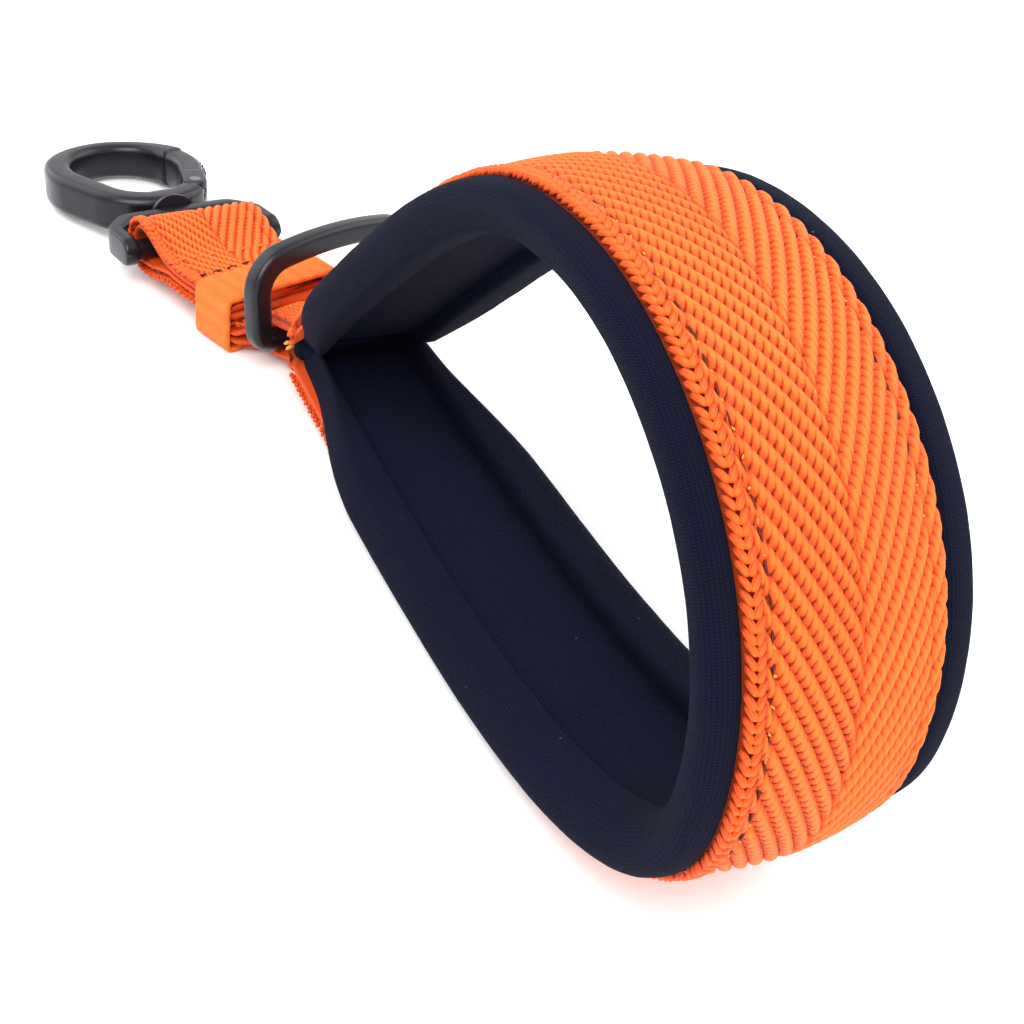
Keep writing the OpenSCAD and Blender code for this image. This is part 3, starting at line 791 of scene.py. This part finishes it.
# ---------------------------------------------------------------- tab and keeper
fold_r = 2.9 + WEB_T
fold_c = np.array([-BAR_X - 0.3, BAR_Z + 0.6])
tab_low, tab_top = LAYER_Z[2], LAYER_Z[4]
round_fold = [fold_c + fold_r * np.array([math.cos(math.radians(a)), math.sin(math.radians(a))])
              for a in np.arange(-90, -271, -6)]
tab_line = Line(join_curves([
    np.array([[-20.8, tab_low], [-37, tab_low]]),
    bezier([-37, tab_low], [-42, tab_low], fold_c + [5, -fold_r], fold_c - [0, fold_r], 40),
    np.array(round_fold),
    bezier(fold_c + [0, fold_r], fold_c + [4, fold_r], [-43, tab_top], [-38.6, tab_top], 40),
    np.array([[-38.6, tab_top], [-20.8, tab_top]]),
]), 0.6)
for side, name in ((-1, "tab_near"), (1, "tab_far")):
    obj = make_webbing(name, tab_line, side, turn_tab, side < 0, 9, across=0.2)
    dress(obj, ORANGE, "lead", "orange_webbing", *(["tab_webbing"] if side < 0 else []))
dress(plaited_edge("tab_chain", tab_line, turn_tab, 0.8, tab_line.length - 0.8), ORANGE, "lead",
      "orange_webbing")

stack_h = 4 * WEB_T
sleeve_mid_z = SLEEVE_Z + SLEEVE_T + stack_h / 2
SLEEVE_RINGS = 220
sleeve_loop = rounded(WEB_W + SLEEVE_T, stack_h + SLEEVE_T, 1.2, 9)
sleeve_loop = resample(np.vstack([sleeve_loop, sleeve_loop[:1]]), count=SLEEVE_RINGS + 1)[:-1]
sleeve_rings = []
xs = np.linspace(-KEEPER_L / 2 + 0.5, KEEPER_L / 2 - 0.5, 26)
fine = np.vstack([
    np.stack([xs, np.full_like(xs, SLEEVE_T / 2)], 1), [[KEEPER_L / 2 - 0.12, 0.36]],
    [[KEEPER_L / 2, 0]], [[KEEPER_L / 2 - 0.12, -0.36]],
    [[KEEPER_L / 2 - 0.5, -0.5], [0, -0.5], [-KEEPER_L / 2 + 0.5, -0.5]],
    [[-KEEPER_L / 2 + 0.12, -0.36]], [[-KEEPER_L / 2, 0]], [[-KEEPER_L / 2 + 0.12, 0.36]],
])
for k, (y, z) in enumerate(sleeve_loop):
    t = sleeve_loop[(k + 1) % SLEEVE_RINGS] - sleeve_loop[k - 1]
    t /= np.linalg.norm(t)
    out = np.array([t[1], -t[0]])
    weave = 0.07 * np.sin(k * TAU / 5.0 + fine[:, 0] * 4.6) * (fine[:, 1] > 0.4)
    off = fine[:, 1] + weave
    sleeve_rings.append(np.stack([
        -KEEPER_X - KEEPER_L / 2 + fine[:, 0], y + out[0] * off, sleeve_mid_z + z + out[1] * off], 1))
sleeve_rings = apply(rot("Z", TAIL_YAW), np.array(sleeve_rings).reshape(-1, 3))
sleeve_rings = sleeve_rings.reshape(SLEEVE_RINGS, -1, 3)
sleeve = Bundle().add(sleeve_rings, loop=True).make("keeper_tape")
dress(sleeve, ORANGE_TAPE, "lead", "orange_webbing", "keeper_sleeve")


def stitch_row(name, frame_m, points, node, r=0.24, material=THREAD):
    b = Bundle()
    for a, c in points:
        p, q = apply(frame_m, a), apply(frame_m, c)
        b.add(capsule(p, q, [0, 0, 0.16], r, rings=6, taper=0.4))
    dress(b.make(name), material, "lead", "thread", node)


tail_m = rot("Z", TAIL_YAW)
bend = apply(tail_m, [-TAB_BEND_X, 0, 0])
tab_m = move(*bend) @ rot("Z", HOOK_YAW) @ move(TAB_BEND_X, 0, 0)
stitch_row("tab_stitch_row", tail_m, [
    ([-KEEPER_X - KEEPER_L - 2.1, y - 1.2, tab_top + 0.02],
     [-KEEPER_X - KEEPER_L - 2.1, y + 1.1, tab_top + 0.02]) for y in np.arange(-10.2, 10.3, 3.4)],
    "tab_stitches")
stitch_row("fold_stitch_row", tab_m, [
    ([-37.6, y - 1.2, tab_top + 0.05], [-37.6, y + 1.1, tab_top + 0.05])
    for y in np.arange(-10.2, 10.3, 3.4)], "fold_stitches", material=ORANGE_THREAD)
bar_points = []
for x in (-6.1, -4.9):
    for k, y in enumerate(np.arange(-9.4, 9.5, 1.25)):
        skew = 0.35 if k % 2 else -0.35
        z = np.interp(x, upper_line[:, 0], upper_line[:, 1]) + 0.05
        bar_points.append(([x - skew, y - 0.6, z], [x + skew, y + 0.6, z]))
stitch_row("joint_bartack_rows", tail_m, bar_points, "joint_bartack", 0.22)

# the thread's end at the near side of the crease: a twisted tail that frays
end_b = Bundle()
knot = np.array([-0.6, -12.2, 9.0])
for k, (dx, dy, dz) in enumerate(((0.2, -1.0, 0.7), (-0.5, -0.9, 0.2), (0.5, -0.8, -0.3),
                                  (-0.2, -0.6, -0.8))):
    end_b.add(capsule(knot + [0, 1.0, 0], knot + [dx, dy, dz], [0.2 * (k - 1), 0, 0.3], 0.3,
                      sides=8, rings=8, taper=0.35))
dress(end_b.make("thread_tail"), GOLD_THREAD_AND_GLINT, "lead", "thread", "thread_end")


# ---------------------------------------------------------------- D-ring
def arc(centre, r, start, end, n):
    a = np.radians(np.linspace(start, end, n))
    return np.stack([centre[0] + r * np.cos(a), centre[1] + r * np.sin(a)], 1)


ring_m = (rot("Z", TAIL_YAW) @ move(-RING_X, RING_SHIFT, RING_Z) @ rot("Z", 90)
          @ rot("X", 90 - RING_LEAN))
W2, DEEP, SHOULDER, CROWN_R, FOOT = 18.0, 17.0, 6.4, 80.0, 3.4
cy = DEEP - CROWN_R
sx = W2 - SHOULDER
sy = cy + math.sqrt((CROWN_R - SHOULDER) ** 2 - sx ** 2)
sa = math.degrees(math.atan2(sy - cy, sx))
ring_line = np.vstack([
    arc([W2 - FOOT, FOOT], FOOT, -90, 0, 12), arc([sx, sy], SHOULDER, 0, sa, 16),
    arc([0, cy], CROWN_R, sa, 180 - sa, 40), arc([-sx, sy], SHOULDER, 180 - sa, 180, 16),
    arc([FOOT - W2, FOOT], FOOT, 180, 270, 12)])
ring_line = resample(np.vstack([ring_line, ring_line[:1]]), count=241)[:-1]
ring_line = np.stack([ring_line[:, 0], ring_line[:, 1], 0 * ring_line[:, 0]], 1)
plain, rod = rounded(4.2, 4.0, 1.15, 6), rounded(3.7, 3.7, 1.84, 6)
is_rod = smooth(-ring_line[:, 1], -1.6, -0.1)[:, None, None]
ring_rings = sweep(ring_line, [0, 0, 1], plain * (1 - is_rod) + rod * is_rod, loop=True)
ring_rings = apply(ring_m, ring_rings.reshape(-1, 3)).reshape(ring_rings.shape)
dress(Bundle().add(ring_rings, loop=True).make("d_ring_forged"), BLACK, "ring", "black_metal",
      "d_ring")

# ---------------------------------------------------------------- swivel hook
hook_m = tab_m @ move(-BAR_X, 0, BAR_Z) @ rot("Z", 180) @ rot("Y", HOOK_PITCH)


def place(rings, m=hook_m):
    rings = np.asarray(rings, float)
    return apply(m, rings.reshape(-1, 3)).reshape(rings.shape)


# bail: a strap of steel round the bar's ends and across the rivet
half_bail = [[-2.7, 15.5], [6.2, 15.5], [10.4, 11.3], [10.4, 0]]
bail_line = np.array(half_bail + [[x, -y] for x, y in half_bail[-2::-1]], float)
bail_line = soften(resample(bail_line, 0.3), 0.8, 0.3)
bail_line = np.stack([bail_line[:, 0], bail_line[:, 1], 0 * bail_line[:, 0]], 1)
tall = 2 * np.sqrt(np.clip(2.8 ** 2 - np.minimum(bail_line[:, 0], 0) ** 2, 0.3, None))
bail_sections = np.array([rounded(3.0 + 0.5 * smooth(x, 6, 10), t, min(0.75, t / 2 - 0.02), 5)
                          for x, t in zip(bail_line[:, 0], tall)])
dress(Bundle().add(place(sweep(bail_line, [0, 0, 1], bail_sections))).make("bail_forged"),
      BLACK, "bail", "black_metal", "swivel_bail")

# bow: swept stock, wide at the gate side, slim at the far end
BOW_R, HEEL_R, STOCK_W, STOCK_H = 14.0, 11.0, 5.6, 8.0
heel_x, bow_x = 16.2 + HEEL_R, 50.0 - BOW_R
lean = math.degrees(math.asin((BOW_R - HEEL_R) / (bow_x - heel_x)))
PIVOT, MOUTH_R, MOUTH_X = np.array([21.8, -9.7]), 18.9, 24.2
bow_line = np.vstack([arc([bow_x, 0], BOW_R, -90 - lean, 90 + lean, 90),
                      arc([heel_x, 0], HEEL_R, 90 + lean, 270 - lean, 70)])
bow_line = resample(np.vstack([bow_line, bow_line[:1]]), count=361)[:-1]
from_pivot = np.linalg.norm(bow_line - PIVOT, axis=1)
in_mouth = (bow_line[:, 0] > MOUTH_X) & (bow_line[:, 1] < -6) & (from_pivot < MOUTH_R)
first = int(np.nonzero(in_mouth & ~np.roll(in_mouth, 1))[0][0])
last = int(np.nonzero(in_mouth & ~np.roll(in_mouth, -1))[0][0])


def stretch(a, b):
    idx = np.arange(a, b + 1 + (360 if b < a else 0)) % 360
    p = bow_line[idx]
    return np.stack([p[:, 0], p[:, 1], 0 * p[:, 0]], 1)


def bow_sections(path, nose=False):
    secs = []
    for k, (x, y, _) in enumerate(path):
        w = STOCK_W - 0.9 * smooth(x, 42, 50) + 0.5 * smooth(y, 4, 12) * smooth(-x, -44, -30)
        h = STOCK_H - 0.6 * smooth(x, 42, 50)
        if nose:
            w += 0.9 * (1 - smooth(k, 0, 16))
        secs.append(rounded(w, h, 1.7, 7))
    return np.array(secs)


body_line = stretch(last + 1, first - 4)
cut = int(np.nonzero(body_line[:, 0] * 0 + (np.hypot(*(body_line[:, :2] - PIVOT).T) < 3.4)
                     * (body_line[:, 1] < -6))[0][0])
hook = Bundle()
main = body_line[:cut]
hook.add(place(sweep(main, [0, 0, 1], bow_sections(main, True))))
tang = body_line[cut - 6:]
hook.add(place(sweep(tang, [0, 0, 1], rounded(5.0, 2.1, 0.4, 5) + [0, -0.65])))
neck_x = np.linspace(13.15, 18.2, 14)
neck_path = np.stack([neck_x, 0 * neck_x, 0 * neck_x], 1)
neck = np.array([rounded(2 * r, 2 * min(r, 3.95), min(r, 3.95) - 0.02, 9) for r in
                 4.6 - 0.5 * (1 - smooth(neck_x, 13.1, 13.9)) + 0.9 * smooth(neck_x, 15.5, 18.0)])
hook.add(place(sweep(neck_path, [0, 0, 1], neck)))
dress(hook.make("hook_forged"), BLACK, "hook", "black_metal", "hook_body")

# gate: the stretch across the mouth, its forked foot and the ribs under the thumb
gate_b = Bundle()
gate_line = stretch(first + 3, last - 1)
gate_b.add(place(sweep(gate_line, [0, 0, 1], rounded(STOCK_W, STOCK_H - 0.5, 1.5, 7))))
for z in (3.0, -3.0):
    a = math.radians(-20)
    foot = [[PIVOT[0] - 2.4 * math.cos(a) + math.cos(a) * t, PIVOT[1] - 2.4 * math.sin(a) * 1.0
             + math.sin(a) * t, z] for t in np.linspace(0, 8.0, 14)]
    wide = [5.0 * math.sqrt(max(0.08, 1 - max(0, (2.2 - t) / 2.45) ** 2))
            for t in np.linspace(0, 8.0, 14)]
    secs = np.array([rounded(w, 1.9, 0.5 if w > 1.2 else 0.3, 5) for w in wide])
    gate_b.add(place(sweep(foot, [0, 0, 1], secs)))
for x in np.arange(29.0, 37.6, 1.7):
    k = int(np.argmin(np.abs(gate_line[:, 0] - x)))
    p = gate_line[k]
    t = gate_line[min(k + 1, len(gate_line) - 1)] - gate_line[k - 1]
    t /= np.linalg.norm(t)
    out = np.array([t[1], -t[0], 0]) * (1 if t[0] > 0 else -1)
    ridge = [p + out * 2.55 + [0, 0, z] for z in np.linspace(-2.7, 2.7, 9)]
    gate_b.add(place(sweep(ridge, t, rounded(1.3, 1.0, 0.42, 5))))
dress(gate_b.make("gate_forged"), BLACK_FINE, "gate", "black_metal", "gate")

for node, material in (("bail_bar", BLACK), ("swivel_rivet", BLACK), ("swivel_washer", BLACK_FINE),
                       ("gate_pin", STEEL), ("gate_spring", SPRING)):
    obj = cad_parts[node]
    obj.data.materials.clear()
    obj.data.materials.append(material)

# ---------------------------------------------------------------- floor, light and camera
floor_mesh = bpy.data.meshes.new("floor")
floor_mesh.from_pydata([(-4, -4, 0), (4, -4, 0), (4, 4, 0), (-4, 4, 0)], [], [(0, 1, 2, 3)])
floor = bpy.data.objects.new("floor", floor_mesh)
bpy.context.scene.collection.objects.link(floor)
floor_n = Nodes("floor_paper", 0.75, Specular_IOR_Level=0.2)
floor_n.finish(floor_n.mix(floor_n.noise(40.0), (0.92, 0.92, 0.92, 1), (0.95, 0.95, 0.95, 1)))
floor_mesh.materials.append(floor_n.material)


def area_light(name, place_at, look_at, size, power, colour=(1, 1, 1)):
    data = bpy.data.lights.new(name, "AREA")
    data.shape, data.size, data.energy, data.color = "SQUARE", size, power, colour
    obj = bpy.data.objects.new(name, data)
    obj.location = place_at
    obj.rotation_mode = "QUATERNION"
    aim = Vector(look_at) - Vector(place_at)
    obj.rotation_quaternion = aim.to_track_quat("-Z", "Y")
    bpy.context.scene.collection.objects.link(obj)


middle = (cad_low + cad_high) / 2
area_light("key", (0.45, -0.35, 0.75), middle, 0.7, 9.0)
area_light("fill", (-0.6, -0.5, 0.5), middle, 0.9, 4.0)
area_light("back", (-0.1, 0.8, 0.6), middle, 0.9, 5.0)
world = bpy.data.worlds.new("studio")
world.use_nodes = True
world.node_tree.nodes["Background"].inputs["Color"].default_value = (1, 1, 1, 1)
world.node_tree.nodes["Background"].inputs["Strength"].default_value = 1.0
bpy.context.scene.world = world

CAM_AT = np.array([189.93, -81.6, 126.43])
CAM_AZ, CAM_EL, CAM_ROLL, FOCAL_PX, FRAME_PX = 57.34, 36.25, 10.11, 1280.2, 1024
az, el, roll = (math.radians(a) for a in (CAM_AZ, CAM_EL, CAM_ROLL))
back = np.array([math.sin(az) * math.cos(el), -math.cos(az) * math.cos(el), math.sin(el)])
right = np.array([math.cos(az), math.sin(az), 0])
up = np.cross(back, right)
right, up = (math.cos(roll) * right + math.sin(roll) * up, -math.sin(roll) * right + math.cos(roll) * up)
cam_data = bpy.data.cameras.new("camera")
cam_data.sensor_width = 36.0
cam_data.lens = FOCAL_PX / FRAME_PX * 36.0
cam_data.clip_start, cam_data.clip_end = 0.01, 20
cam = bpy.data.objects.new("camera", cam_data)
m = np.eye(4)
m[:3, 0], m[:3, 1], m[:3, 2], m[:3, 3] = right, up, back, at_row(CAM_AT)
cam.matrix_world = Matrix(m.tolist())
bpy.context.scene.collection.objects.link(cam)
bpy.context.scene.camera = cam
bpy.context.scene.view_settings.view_transform = "Standard"

bpy.context.view_layer.update()
